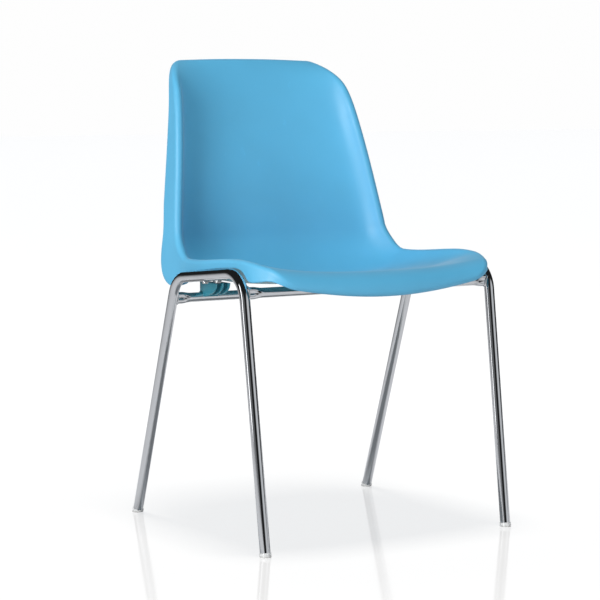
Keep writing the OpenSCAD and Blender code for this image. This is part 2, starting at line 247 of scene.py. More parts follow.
def studio_white(name):
    """White sweep with soft shadows and a faint shine. It glows for the camera and, faintly, in
    reflections, and its own light on the chair is that of an unlit white floor."""
    material, nodes = new_material(name)
    reach = nodes.new("ShaderNodeVectorMath", operation="LENGTH")
    nodes.put(nodes.coords.outputs["Object"], reach.inputs[0])
    path = nodes.new("ShaderNodeLightPath")
    seen = path.outputs["Is Camera Ray"]
    glow = nodes.ramp(reach.outputs["Value"], 0.45, 1.3, 0.84, 1.02)
    glow_seen = nodes.maths("MULTIPLY", glow, seen)
    glow_mirrored = nodes.maths("MULTIPLY", path.outputs["Is Glossy Ray"], 0.10)
    plain = nodes.mix(nodes.noise(2.0, detail=2.0), (0.78, 0.78, 0.80, 1.0),
                      (0.80, 0.80, 0.80, 1.0))
    matt = nodes.surface({
        "Base Color": nodes.mix(seen, plain, (0.26, 0.25, 0.235, 1.0)),
        "Emission Color": (0.985, 0.99, 1.0, 1.0),
        "Emission Strength": nodes.maths("ADD", glow_seen, glow_mirrored),
        "Roughness": 1.0,
        "Specular IOR Level": 0.0,
    })
    shine = nodes.new("ShaderNodeBsdfGlossy")
    nodes.put(nodes.ramp(nodes.noise(9.0, detail=3.0), 0.3, 0.7, 0.08, 0.10),
              shine.inputs["Roughness"])
    nodes.output("Material Output", 0.22, matt, shine.outputs["BSDF"])
    return material


# One material for each of the record's slots
finishes = {
    "shell_plastic": moulded_plastic("shell_plastic", SHELL_BLUE, 0.56),
    # Painted shade: the buffers take the darker teal copy of the shell blue, standing for the
    # shade under the seat
    "buffer_plastic": moulded_plastic("buffer_plastic", PAINTED_SHADE_TEAL, 0.40, grain=0.15),
    "chromed_steel": plated_steel("chromed_steel", CHROME, 0.03),
    "zinc_fixings": zinc_plate("zinc_fixings", ZINC),
    "glide_plastic": milky_plastic("glide_plastic", MILKY_WHITE),
}


# ------------------------------------------------------------------ mesh helpers
def make_piece(name, part, slot, *nodes, sharp=60.0):
    """A smooth-shaded piece that rides on the chair, from (points in millimetres, faces), in
    the place of the CAD nodes that are named."""
    points, faces = part
    mesh = bpy.data.meshes.new(name)
    mesh.from_pydata([tuple(p) for p in np.asarray(points, float) * MM], [], faces)
    bm = bmesh.new()
    bm.from_mesh(mesh)
    bmesh.ops.recalc_face_normals(bm, faces=bm.faces)
    bm.to_mesh(mesh)
    bm.free()
    mesh.materials.append(finishes[slot])
    mesh.shade_smooth()
    mesh.set_sharp_from_angle(angle=math.radians(sharp))
    piece = bpy.data.objects.new(name, mesh)
    scene.collection.objects.link(piece)
    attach(piece, BODY)
    if nodes:
        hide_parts(*nodes)
    return piece


def full_turn(count):
    """Angles spread evenly over a full turn, in radians."""
    return np.linspace(0, 2 * math.pi, count, endpoint=False)


def level_ring(radius, a, z):
    """Points about the Z axis at angles a and height z."""
    return np.column_stack([radius * np.cos(a), radius * np.sin(a), np.full(len(a), z)])


def ring_faces(ring_count, around, wrap=False):
    """Quads between successive rings of equally many points; wrap joins the last to the first."""
    faces = []
    for k in range(ring_count if wrap else ring_count - 1):
        a, b = k * around, (k + 1) % ring_count * around
        faces += [(a + i, a + (i + 1) % around, b + (i + 1) % around, b + i)
                  for i in range(around)]
    return faces


def loft(rings):
    """Points and faces of a capped skin over rings of equally many points."""
    around = len(rings[0])
    last = (len(rings) - 1) * around
    caps = [tuple(reversed(range(around))), tuple(range(last, last + around))]
    return np.concatenate(rings), ring_faces(len(rings), around) + caps


def merge(*parts):
    """Several (points, faces) pairs as one."""
    points, faces, base = [], [], 0
    for p, f in parts:
        points.append(np.asarray(p, float))
        faces += [tuple(i + base for i in face) for face in f]
        base += len(p)
    return np.concatenate(points), faces


# ------------------------------------------------------------------ shell form
# Centre line in the YZ plane: (length, turn) of each stretch from front lip to top edge
LIP_START = np.array([-240.5, 407.0])
LIP_HEADING = 96.0
LIP_RUN, SEAT_RUN, BEND_RUN, BACK_RUN = 60.0, 255.0, 145.0, 312.0
STRETCHES = ((LIP_RUN, -108.0), (SEAT_RUN, 8.0), (BEND_RUN, 86.0), (BACK_RUN, -16.0))
LINE_LENGTH = LIP_RUN + SEAT_RUN + BEND_RUN + BACK_RUN
BEND_MID = LIP_RUN + SEAT_RUN + 0.55 * BEND_RUN
WALL = 4.0
ROLL_R = 6.0


def centre(s):
    """Points [y, z] and headings on the centre line at distances s."""
    s = np.asarray(s, float)
    point, heading, start = LIP_START, LIP_HEADING, 0.0
    places, headings = np.zeros(s.shape + (2,)), np.zeros(s.shape)
    for k, (run, turn) in enumerate(STRETCHES):
        part = s - start
        here = part >= 0 if k else np.ones(s.shape, bool)
        rate = math.radians(turn) / run
        h0, h = math.radians(heading), math.radians(heading) + rate * part
        arc_run = np.stack([np.sin(h) - np.sin(h0), np.cos(h0) - np.cos(h)], -1) / rate
        places[here] = (point + arc_run)[here]
        headings[here] = h[here]
        end = math.radians(heading + turn)
        point = point + np.array([math.sin(end) - math.sin(h0),
                                  math.cos(h0) - math.cos(end)]) / rate
        heading += turn
        start += run
    return places, headings


def soft_ramp(s, softness):
    """Ramp from zero that starts gently at s = 0."""
    return (np.sqrt(s * s + softness * softness) + s) / 2


def hump(s, middle, width):
    return np.exp(-((s - middle) / width) ** 2)


# Half width: the seat narrows from the waist on, and the back tapers faster
SEAT_HALF = 216.0
BACK_HALF = 155.0
WAIST_START = 250.0
WAIST_RATE = 0.0625
TAPER_START = LIP_RUN + SEAT_RUN + BEND_RUN
TAPER_RATE = ((SEAT_HALF - BACK_HALF - WAIST_RATE * (LINE_LENGTH - WAIST_START))
              / (LINE_LENGTH - TAPER_START))
SIDE_SOFTNESS = 25.0


def half_width(s):
    return (SEAT_HALF - WAIST_RATE * soft_ramp(s - WAIST_START, SIDE_SOFTNESS)
            - TAPER_RATE * soft_ramp(s - TAPER_START, SIDE_SOFTNESS))


# Dish: how deep, how sharply it rises, and where it starts, deepens and fades out
DISH = 42.0
DISH_POWER = 2.6
DISH_BEND, DISH_BEND_RUN = 9.0, 75.0
FRONT_BOW = 30.0
DISH_START = 60.0
TOP_FADE, TOP_FADE_POWER = 129.0, 3.3
FLANK_SHARE, FLANK_POWER, FLANK_START_RUN = 0.4, 18.0, 100.0


def dish_depth(s):
    """Depth below the rims; negative at the front edge, whose middle bows forwards."""
    front = DISH - (DISH + FRONT_BOW) * np.exp(-s / DISH_START)
    u = np.clip((s - LINE_LENGTH + TOP_FADE) / TOP_FADE, 0, None)
    return (front + DISH_BEND * hump(s, BEND_MID, DISH_BEND_RUN)) * (1 - u ** TOP_FADE_POWER)


def lift(x, s):
    """Height over the middle of the dish: a shallow bowl with steep flanks just inside the rims,
    which fade out towards the front and the top edge."""
    u = np.abs(x) / half_width(s)
    top = smooth_step((s - LINE_LENGTH + TOP_FADE) / TOP_FADE)
    steep = FLANK_SHARE * smooth_step((s - LIP_RUN) / FLANK_START_RUN) * (1 - top)
    return dish_depth(s) * ((1 - steep) * u ** DISH_POWER + steep * u ** FLANK_POWER)


def on_surface(x, s):
    """Points of the middle surface for x across and s along the centre line."""
    x, s = np.broadcast_arrays(np.asarray(x, float), np.asarray(s, float))
    place, h = centre(s)
    n = lift(x, s)
    return np.stack([x, place[..., 0] - n * np.sin(h), place[..., 1] + n * np.cos(h)], -1)


def surface_normal(x, s, nudge=0.25):
    across = on_surface(x + nudge, s) - on_surface(x - nudge, s)
    along = on_surface(x, s + nudge) - on_surface(x, s - nudge)
    return unit(np.cross(across, along))


# Turned-over edge: its depth along the seat, at the ends, at the back curve and up the back
SKIRT = 24.0
SKIRT_LEAST = 2.0
SKIRT_START, SKIRT_START_RUN = 15.0, 85.0
SKIRT_FADE, SKIRT_FADE_POWER = 229.0, 1.8
CORNER_SKIRT = 38.0
BACK_SKIRT, BACK_SKIRT_RUN = 4.0, 60.0
NOTCH_DEPTH, NOTCH_MID, NOTCH_HALF, NOTCH_POWER = 19.0, LIP_RUN + 140.0, 98.0, 14


def skirt_depth(s):
    """Depth of the turned-over edge, deepest at the back curve and cut out over the rails."""
    u = np.clip((s - LINE_LENGTH + SKIRT_FADE) / SKIRT_FADE, 0, None)
    bends = CORNER_SKIRT * (0.3 * hump(s, BEND_MID, 130.0) + 0.7 * hump(s, BEND_MID - 6.0, 45.0))
    notch = NOTCH_DEPTH * np.exp(-((s - NOTCH_MID) / NOTCH_HALF) ** NOTCH_POWER)
    back = BACK_SKIRT * smooth_step((s - TAPER_START) / BACK_SKIRT_RUN)
    depth = (SKIRT + bends + back - notch) * smooth_step((s - SKIRT_START) / SKIRT_START_RUN)
    return SKIRT_LEAST + depth * (1 - u ** SKIRT_FADE_POWER)


# Outline: the bowed front edge, its corners, the sides and the rounded top corners
FRONT_EDGE_HALF = 170.0
FRONT_EDGE_BOW = 0.0007
FRONT_EDGE_S = 5.3
SIDE_START = 98.0
TOP_CORNER_IN = 26.0
TOP_CORNER_RUN = 68.0
OUTLINE_STEPS = (20, 26, 120, 26, 16)


def half_outline():
    """[x, s] from the middle of the front edge round the right side to the middle of the top."""
    side_end = LINE_LENGTH - TOP_CORNER_RUN
    side_half = half_width(np.array(SIDE_START))
    t = [np.arange(n) / n for n in OUTLINE_STEPS]
    quarter = math.pi / 2
    x_front = FRONT_EDGE_HALF * t[0]
    front = np.stack([x_front, FRONT_EDGE_S + FRONT_EDGE_BOW * x_front ** 2], -1)
    x_corner = FRONT_EDGE_HALF + (side_half - FRONT_EDGE_HALF) * np.sin(quarter * t[1])
    bow = FRONT_EDGE_S + FRONT_EDGE_BOW * x_corner ** 2
    rise = SIDE_START - FRONT_EDGE_S - FRONT_EDGE_BOW * side_half ** 2
    corner = np.stack([x_corner, bow + rise * (1 - np.cos(quarter * t[1]))], -1)
    s_side = SIDE_START + (side_end - SIDE_START) * t[2]
    side = np.stack([half_width(s_side), s_side], -1)
    s_top = side_end + TOP_CORNER_RUN * np.sin(quarter * t[3])
    top = np.stack([half_width(s_top) - TOP_CORNER_IN * (1 - np.cos(quarter * t[3])), s_top], -1)
    edge_half = half_width(np.array(LINE_LENGTH)) - TOP_CORNER_IN
    edge = np.stack([edge_half * (1 - t[4]), np.full(len(t[4]), LINE_LENGTH)], -1)
    return np.concatenate([front, corner, side, top, edge, [[0.0, LINE_LENGTH]]])


# The dish's rings run from a spine on the middle plane out to the outline
SPINE_START, SPINE_END = 70.0, LINE_LENGTH - 120.0
DISH_RINGS = np.concatenate([[0.04], np.linspace(0.1, 0.9, 32), np.linspace(0.91, 1.0, 16)])
ROLL_STEPS, SKIRT_STEPS, EDGE_STEPS = 12, 10, 6
# How far the turned-over edge leans outwards, and its least depth below the rolled rim
FLARE = 4.0
LEAST_DROP = 0.4


def middle_surface(outline):
    """Rings of points and normals half way through the wall, over the dish, round the rolled rim
    and down the turned-over edge, and the directions in which that edge hangs."""
    x, s = outline[:, 0], outline[:, 1]
    spine = np.stack([np.zeros(len(s)), np.clip(s, SPINE_START, SPINE_END)], -1)
    points, normals = [], []
    for share in DISH_RINGS:
        q = spine + share * (outline - spine)
        points.append(on_surface(q[:, 0], q[:, 1]))
        normals.append(surface_normal(q[:, 0], q[:, 1]))
    rim, n = points[-1], normals[-1]
    along = unit(np.roll(rim, -1, 0) - np.roll(rim, 1, 0))
    out = unit(np.cross(along, n))
    h = centre(s)[1]
    flare = math.sin(math.radians(FLARE)) * np.sign(x) * np.minimum(1, np.abs(x) / FRONT_EDGE_HALF)
    down = unit(np.stack([flare, np.sin(h), -np.cos(h)], -1))
    turn = np.arccos(np.clip((out * down).sum(-1), -1, 1))[:, None]
    across = (down - out * np.cos(turn)) / np.sin(turn)
    for k in range(1, ROLL_STEPS + 1):
        a = turn * k / ROLL_STEPS
        points.append(rim + ROLL_R * (np.sin(a) * out + (1 - np.cos(a)) * across))
        normals.append(np.sin(a) * out - np.cos(a) * across)
    roll_end, face_out = points[-1], normals[-1]
    drop = np.maximum(skirt_depth(s) - WALL / 2, LEAST_DROP)[:, None]
    for k in range(1, SKIRT_STEPS + 1):
        points.append(roll_end + drop * k / SKIRT_STEPS * down)
        normals.append(face_out)
    return points, normals, down


def spine_strip(around):
    """Faces that close the innermost ring from side to side."""
    half = around // 2
    quads = [(i, i + 1, around - i - 1, around - i) for i in range(1, half - 1)]
    return quads + [(0, 1, around - 1), (half, half + 1, half - 1)]


def shell_mesh():
    """The moulding: two skins WALL apart with a round free edge. Returned with the number of
    points that come before the inner skin."""
    right = half_outline()
    left = right[-2:0:-1] * [-1, 1]
    points, normals, down = middle_surface(np.concatenate([right, left]))
    around, half = len(down), WALL / 2
    outer = [p + half * n for p, n in zip(points, normals)]
    inner = [p - half * n for p, n in zip(points, normals)]
    edge = []
    for k in range(1, EDGE_STEPS):
        a = math.pi * k / EDGE_STEPS
        edge.append(points[-1] + half * (math.cos(a) * normals[-1] + math.sin(a) * down))
    rings = outer + edge + inner[::-1]
    faces = ring_faces(len(rings), around)
    last = (len(rings) - 1) * around
    for face in spine_strip(around):
        faces += [face, tuple(last + i for i in reversed(face))]
    return np.concatenate(rings), faces, (len(outer) + len(edge)) * around


# ------------------------------------------------------------------ frame form
FRONT_LEAN = 8.0
REAR_LEAN = 19.65
TOE_IN = 0.5
FRONT_CORNER_Z = 448.5
REAR_CORNER_Z = 425.0
BEND_R = 50.0
FOOT_CUT = 6.5
TUBE_R = 8.5
TUBE_WALL = 1.5
FEET_MID_Y = -14.5
FOOT_SPAN = 442.0
frame_x = -(node_box("left_side_frame")[0][0] + TUBE_R)


def leaning(lean):
    """Unit vector in the YZ plane that leans from vertical towards +Y."""
    a = math.radians(lean)
    return np.array([math.sin(a), math.cos(a)])


front_foot = np.array([FEET_MID_Y - FOOT_SPAN / 2, 0.0])
rear_foot = np.array([FEET_MID_Y + FOOT_SPAN / 2, 0.0])
front_dir, rear_dir = leaning(FRONT_LEAN), leaning(-REAR_LEAN)
front_corner = front_foot + FRONT_CORNER_Z / front_dir[1] * front_dir
rear_corner = rear_foot + REAR_CORNER_Z / rear_dir[1] * rear_dir
rail_dir = unit(rear_corner - front_corner)
front_turn = math.acos(np.dot(front_dir, rail_dir))
front_top = front_corner - BEND_R * math.tan(front_turn / 2) * front_dir


def rounded_path(points, radius, step=2.0):
    """Polyline in the YZ plane through points, with each inner corner bent to radius."""
    path = [points[0]]
    for before, at, after in zip(points, points[1:], points[2:]):
        a, b = unit(at - before), unit(after - at)
        turn = math.acos(np.dot(a, b))
        sign = np.sign(a[0] * b[1] - a[1] * b[0])
        setback = radius * math.tan(turn / 2)
        start = at - setback * a
        normal = sign * np.array([-a[1], a[0]])
        mid = start + radius * normal
        steps = max(8, int(radius * turn / step))
        for k in range(steps + 1):
            w = turn * k / steps
            path.append(mid + radius * (math.sin(w) * a - math.cos(w) * normal))
    path.append(points[-1])
    return np.array(path)


def refine(path, step):
    """The same line with points no further apart than step."""
    fine = [path[0]]
    for a, b in zip(path, path[1:]):
        n = max(1, int(math.ceil(np.linalg.norm(b - a) / step)))
        fine += [a + (b - a) * k / n for k in range(1, n + 1)]
    return np.array(fine)


tube_path = refine(rounded_path([front_foot + FOOT_CUT * front_dir, front_corner, rear_corner,
                                 rear_foot + FOOT_CUT * rear_dir], BEND_R), 12.0)


# Every point of a front leg is in front of this plane
FRONT_LEG_Y = FEET_MID_Y - 100.0


def toed_in(points, side):
    """The points, with those below a front leg's bend leaning inwards a little."""
    a = math.radians(side * TOE_IN)
    x, drop = points[:, 0] - side * frame_x, points[:, 2] - front_top[1]
    front_leg = (drop < 0) & (points[:, 1] < FRONT_LEG_Y)
    turned = np.column_stack([side * frame_x + x * math.cos(a) + drop * math.sin(a), points[:, 1],
                              front_top[1] - x * math.sin(a) + drop * math.cos(a)])
    return np.where(front_leg[:, None], turned, points)


def tube_rings(path, x, radius, around=56):
    """Rings of a round tube along a path in the plane at x."""
    tangent = unit(np.gradient(path, axis=0))
    normal = np.stack([-tangent[:, 1], tangent[:, 0]], -1)
    a = full_turn(around)
    rings = []
    for p, m in zip(path, normal):
        plane = p + radius * np.sin(a)[:, None] * m
        rings.append(np.column_stack([x + radius * np.cos(a), plane]))
    return rings


def side_tube(side):
    """Bent tube with its bore and square-cut ends."""
    x = side * frame_x
    outer = tube_rings(tube_path, x, TUBE_R)
    bore = tube_rings(tube_path, x, TUBE_R - TUBE_WALL)
    rings = outer + bore[::-1]
    points = toed_in(np.concatenate(rings), side)
    return points, ring_faces(len(rings), len(outer[0]), wrap=True)


def contact_x(yz, side):
    """Where lines along X through points of the YZ plane meet a side tube's near face."""
    a, b = tube_path[:-1], tube_path[1:]
    d = b - a
    rel = yz[:, None, :] - a[None]
    t = np.clip((rel * d).sum(-1) / (d * d).sum(-1), 0, 1)
    gap = np.linalg.norm(rel - t[..., None] * d, axis=-1).min(-1)
    reach_squared = np.maximum(TUBE_R ** 2 - gap ** 2, 0.5)
    return side * (frame_x - np.sqrt(reach_squared))


BAR_R = 8.0
BAR_AROUND = 72
FLAT_H, FLAT_T = 20.0, 9.0
FLAT_FROM, FLAT_TO = frame_x - 15.0, frame_x - 12.0
ROUND_TO = frame_x - 33.0
DENT_DEPTH, DENT_H = 1.6, 9.0
DENT_FROM, DENT_RUN = ROUND_TO + 3.0, 10.0


def flat_radius(a):
    """Distance from the middle of a slot shape to its edge: thin in Y, tall in Z."""
    r, rise = FLAT_T / 2, (FLAT_H - FLAT_T) / 2
    c, s = np.abs(np.cos(a)), np.abs(np.sin(a))
    side_hit = r / np.maximum(c, 1e-6)
    end_hit = rise * s + np.sqrt(np.maximum(r * r - (rise * c) ** 2, 0))
    return np.where(side_hit * s <= rise, side_hit, end_hit)


def crossbar_end_ring(at, side, around=BAR_AROUND):
    """The crushed end's outline where it meets the leg."""
    a = full_turn(around)
    r = flat_radius(a)
    yz = at + np.column_stack([r * np.cos(a), r * np.sin(a)])
    return np.column_stack([contact_x(yz, side), yz])


def crossbar(at):
    """Round bar whose ends are crushed flat, dented in the middle and coped to the legs."""
    a = full_turn(BAR_AROUND)
    flat = flat_radius(a)
    dent = DENT_DEPTH * np.exp(-(np.sin(a) * FLAT_H / DENT_H) ** 2)
    half = np.concatenate([[FLAT_TO], np.linspace(FLAT_FROM, ROUND_TO, 16),
                           np.linspace(ROUND_TO, 0, 18)[1:]])
    rings = []
    for x in np.concatenate([half, -half[-2::-1]]):
        w = smooth_step((abs(x) - ROUND_TO) / (FLAT_FROM - ROUND_TO))
        crushed = flat - dent * smooth_step((abs(x) - DENT_FROM) / DENT_RUN)
        r = (1 - w) * BAR_R + w * crushed
        yz = at + np.column_stack([r * np.cos(a), r * np.sin(a)])
        rings.append(np.column_stack([np.full(BAR_AROUND, x), yz]))
    return loft([crossbar_end_ring(at, 1)] + rings + [crossbar_end_ring(at, -1)])


WELD_R, WELD_RIPPLES, WELD_STEPS = 1.7, 34, 160


def weld_bead(ring, seed, around=14):
    """Rippled bead laid along a closed ring of points."""
    rng = np.random.default_rng(seed)
    count = len(ring)
    tangent = unit(np.roll(ring, -1, 0) - np.roll(ring, 1, 0))
    outward = ring - ring.mean(0)
    outward -= (outward * tangent).sum(-1)[:, None] * tangent
    outward = unit(outward)
    other = np.cross(tangent, outward)
    phase = full_turn(count)
    swell = 1 + 0.10 * np.abs(np.sin(WELD_RIPPLES * phase / 2))
    swell += 0.05 * np.sin(3 * phase + seed) + rng.normal(0, 0.015, count)
    a = full_turn(around)
    rings = [p + WELD_R * w * (np.cos(a)[:, None] * o + np.sin(a)[:, None] * q)
             for p, w, o, q in zip(ring, swell, outward, other)]
    return np.concatenate(rings), ring_faces(count, around, wrap=True)


def bar_axis(node):
    """[y, z] of a crossbar's axis."""
    low, high = node_box(node)
    return (low[1:] + high[1:]) / 2


# ------------------------------------------------------------------ small parts
def rounded(profile, radius, steps=4):
    """The (radius, height) profile with its inner corners rounded."""
    pts = [np.array(p, float) for p in profile]
    out = [pts[0]]
    for a, b, c in zip(pts, pts[1:], pts[2:]):
        r = min(radius, 0.45 * np.linalg.norm(b - a), 0.45 * np.linalg.norm(c - b))
        p, q = b + r * unit(a - b), b + r * unit(c - b)
        out += [(1 - t) ** 2 * p + 2 * t * (1 - t) * b + t * t * q
                for t in np.linspace(0, 1, steps + 1)]
    return out + [pts[-1]]


def placed(part, origin, tilt=0.0):
    """A (points, faces) pair tilted about X and moved to origin."""
    points, faces = part
    a = math.radians(tilt)
    turn = np.array([[1, 0, 0], [0, math.cos(a), -math.sin(a)], [0, math.sin(a), math.cos(a)]])
    return points @ turn.T + origin, faces


def slab(outline, thickness, bevel, holes=()):
    """Plate between Z 0 and thickness with rounded edges, from a 2D outline and holes."""
    curve = bpy.data.curves.new("slab", "CURVE")
    curve.dimensions = "2D"
    curve.fill_mode = "BOTH"
    curve.extrude = thickness / 2 - bevel
    curve.bevel_depth = bevel
    curve.bevel_resolution = 3
    curve.offset = -bevel
    for loop in (outline,) + tuple(holes):
        spline = curve.splines.new("POLY")
        spline.points.add(len(loop) - 1)
        for point, (x, y) in zip(spline.points, loop):
            point.co = (x, y, 0, 1)
        spline.use_cyclic_u = True
    holder = bpy.data.objects.new("slab", curve)
    mesh = bpy.data.meshes.new_from_object(holder)
    bm = bmesh.new()
    bm.from_mesh(mesh)
    bmesh.ops.remove_doubles(bm, verts=bm.verts, dist=1e-4)
    points = np.array([v.co for v in bm.verts]) + [0, 0, thickness / 2]
    faces = [tuple(v.index for v in f.verts) for f in bm.faces]
    bm.free()
    bpy.data.objects.remove(holder)
    bpy.data.meshes.remove(mesh)
    bpy.data.curves.remove(curve)
    return points, faces


def arc(middle, radius, start, end, steps):
    """Points on a circle between two angles, both ends included."""
    a = np.radians(np.linspace(start, end, steps + 1))
    return [(middle[0] + radius * math.cos(v), middle[1] + radius * math.sin(v)) for v in a]


PLATE_Y = -12.5
PLATE_S = LIP_RUN + 190.0
PLATE_IN, PLATE_OUT = 198.0, frame_x + 5.0
PLATE_LENGTH, PLATE_T, PLATE_CORNER_R = 76.0, 3.0, 6.0
PLATE_TOP = -TUBE_R + 1.5
BOSS_X, BOSS_D, PILOT_DEPTH = 209.0, 12.0, 18.0
SCREW_PITCH, SCREW_D, PILOT_D = 44.0, 5.0, 4.0
HEAD_D, HEAD_H, SOCKET_HALF = 11.0, 3.2, 2.5
THREAD_TURNS, THREAD_PITCH, THREAD_CORE_R = 7, 1.5, 1.7
WASHER_T, WASHER_D, WASHER_BEVEL = 1.2, 14.0, 0.25
rail_slope = math.degrees(math.atan2(rail_dir[1], rail_dir[0]))
rail_mid_z = front_corner[1] + (PLATE_Y - front_corner[0]) * rail_dir[1] / rail_dir[0]
rail_point = np.array([0.0, PLATE_Y, rail_mid_z])


def at_rail(part, side=0, along=0.0, up=0.0):
    """Places a part in the rail's own frame, at BOSS_X on one side."""
    points, faces = part
    points = points + [side * BOSS_X, along, up]
    return placed((points, faces), rail_point, rail_slope)


def fixing_plate(side):
    """Plate with two rounded corners towards the middle of the chair and two screw holes."""
    r = PLATE_CORNER_R
    x0, x1, y = side * PLATE_IN, side * PLATE_OUT, PLATE_LENGTH / 2
    corners = (arc((x0 + side * r, -y + r), r, 270, 270 - side * 90, 8)
               + arc((x0 + side * r, y - r), r, 90 + side * 90, 90, 8)
               + [(x1, y), (x1, -y)])
    holes = [arc((side * BOSS_X, k * SCREW_PITCH / 2), SCREW_D / 2 + 0.3, 0, 345, 23)
             for k in (-1, 1)]
    return at_rail(slab(corners, PLATE_T, 0.4, holes), up=PLATE_TOP - PLATE_T)


def washer():
    """Flat ring with bevelled edges."""
    outer, inner, t, c = WASHER_D / 2, SCREW_D / 2 + 0.25, WASHER_T, WASHER_BEVEL
    loop = np.array([(inner, c), (inner + c, 0), (outer - c, 0), (outer, c), (outer, t - c),
                     (outer - c, t), (inner + c, t), (inner, t - c)])
    rings = [np.column_stack([loop[:, 0] * math.cos(v), loop[:, 0] * math.sin(v), loop[:, 1]])
             for v in full_turn(64)]
    return np.concatenate(rings), ring_faces(len(rings), len(loop), wrap=True)


def screw():
    """Pan head with a hexagon socket below, shank and ridged thread above."""
    a = full_turn(72)
    hexagon = SOCKET_HALF / np.cos((a + math.pi / 6) % (math.pi / 3) - math.pi / 6)
    grip = HEAD_H + WASHER_T + PLATE_T + 0.4
    socket = [(0.02 * hexagon, 2.2), (0.9 * hexagon, 2.0), (hexagon, 1.8), (hexagon, 0.25),
              (1.06 * hexagon, 0.0)]
    head = rounded([(3.2, 0), (HEAD_D / 2 - 0.9, 0.1), (HEAD_D / 2 - 0.1, 1.3),
                    (HEAD_D / 2, HEAD_H)], 0.8)
    stack = socket + head + [(SCREW_D / 2, HEAD_H), (SCREW_D / 2, grip)]
    for k in range(THREAD_TURNS):
        z = grip + 0.4 + k * THREAD_PITCH
        stack += [(THREAD_CORE_R, z), (PILOT_D / 2, z + 0.6), (THREAD_CORE_R, z + 1.2)]
    stack.append((0.3, grip + THREAD_TURNS * THREAD_PITCH + 1.6))
    return loft([level_ring(r, a, z) for r, z in stack])


def boss(side, along):
    """Hollow boss from the plate up into the seat, cut off along the seat's slope."""
    top = on_surface(side * BOSS_X, PLATE_S + along)
    n = surface_normal(side * BOSS_X, PLATE_S + along)
    height = top[2] - (rail_mid_z + PLATE_TOP) + 2
    r, pilot = BOSS_D / 2, PILOT_D / 2
    profile = [(pilot * 0.02, PILOT_DEPTH), (pilot, PILOT_DEPTH), (pilot, 0.6), (pilot + 0.5, 0),
               (r - 0.4, 0), (r, 0.5), (r + 0.3, height - 8)]
    a = full_turn(48)
    rings = [at_rail((level_ring(q, a, z), []), side, along, PLATE_TOP + 0.05)[0]
             for q, z in profile]
    ceiling = rings[-1].copy()
    ceiling[:, 2] = top[2] - ((ceiling[:, :2] - top[:2]) @ n[:2]) / n[2]
    return loft(rings + [ceiling])


# ------------------------------------------------------------------ stacking buffers
FIN_T, FIN_PITCH, FIN_X = 3.0, 12.5, 171.0
FIN_FRONT, FIN_LOW, FIN_HIGH = 15.0, 391.5, 414.0
FIN_TIP_RUN, FIN_REAR_RUN = 15.0, 4.0
SADDLE_T, SADDLE_SPAN = 2.6, 172.0
# Turns a slab that was drawn in Y and Z so that its thickness runs along X
UPRIGHT = np.array([[0, 0, 1], [1, 0, 0], [0, 1, 0]])


def fin_outline(bar):
    """Upright over the bar, with a quarter round in front of it."""
    tip, rear = bar[0] - FIN_TIP_RUN, bar[0] + FIN_REAR_RUN
    curve = [(tip - (tip - FIN_FRONT) * math.cos(a), FIN_HIGH - (FIN_HIGH - FIN_LOW) * math.sin(a))
             for a in np.radians(np.linspace(0, 90, 25))]
    return curve + [(rear, bar[1] + BAR_R + 1), (rear, FIN_HIGH)]


def upright_slab(outline, x, thickness, bevel):
    """Slab in the YZ plane whose middle is at x."""
    points, faces = slab(outline, thickness, bevel)
    return points @ UPRIGHT.T + [x - thickness / 2, 0, 0], faces


def stacking_buffer(side, bar):
    """Three round-edged fins on a saddle that clips over the rear crossbar."""
    parts = [upright_slab(fin_outline(bar), side * (FIN_X + k * FIN_PITCH), FIN_T, 0.6)
             for k in (-1, 0, 1)]
    start, end = 90 - SADDLE_SPAN / 2, 90 + SADDLE_SPAN / 2
    section = (arc(bar, BAR_R + SADDLE_T, start, end, 32)
               + arc(bar, BAR_R + 0.02, end, start, 32))
    parts.append(upright_slab(section, side * FIN_X, 2 * FIN_PITCH + FIN_T, 0.5))
    return merge(*parts)


# ------------------------------------------------------------------ glides
CAP_R, CAP_DROP = TUBE_R + 1.0, 8.0
SPIGOT_R, SPIGOT_H = TUBE_R - TUBE_WALL, 16.0


def above_floor(part):
    """The part cut off level at the floor and closed there."""
    points, faces = part
    bm = bmesh.new()
    verts = [bm.verts.new(p) for p in points]
    for f in faces:
        bm.faces.new([verts[i] for i in f])
    cut = bmesh.ops.bisect_plane(bm, geom=bm.verts[:] + bm.edges[:] + bm.faces[:],
                                 plane_co=(0, 0, 0), plane_no=(0, 0, 1), clear_inner=True)
    rim = [e for e in cut["geom_cut"] if isinstance(e, bmesh.types.BMEdge)]
    bmesh.ops.edgeloop_fill(bm, edges=rim)
    bm.verts.index_update()
    points = np.array([v.co for v in bm.verts])
    faces = [tuple(v.index for v in f.verts) for f in bm.faces]
    bm.free()
    return points, faces


def glide(side, foot, lean, toed):
    """Cap on the leg's end with a lip and a spigot, cut level with the floor."""
    profile = rounded([(0.1, -CAP_DROP), (CAP_R, -CAP_DROP), (CAP_R, FOOT_CUT - 0.1),
                       (SPIGOT_R, FOOT_CUT), (SPIGOT_R, FOOT_CUT + SPIGOT_H),
                       (SPIGOT_R - 1.5, FOOT_CUT + SPIGOT_H + 1),
                       (0.1, FOOT_CUT + SPIGOT_H + 1)], 0.9)
    a = full_turn(64)
    turned = loft([level_ring(r, a, z) for r, z in profile])
    points, faces = placed(turned, np.array([side * frame_x, foot[0], foot[1]]), -lean)
    if toed:
        points = toed_in(points, side)
    return above_floor((points, faces))


# ------------------------------------------------------------------ build
# Heights between which the inner skin goes from full painted shade to none
PAINTED_SHADE_FULL_BELOW, PAINTED_SHADE_NONE_ABOVE = 440.0, 520.0


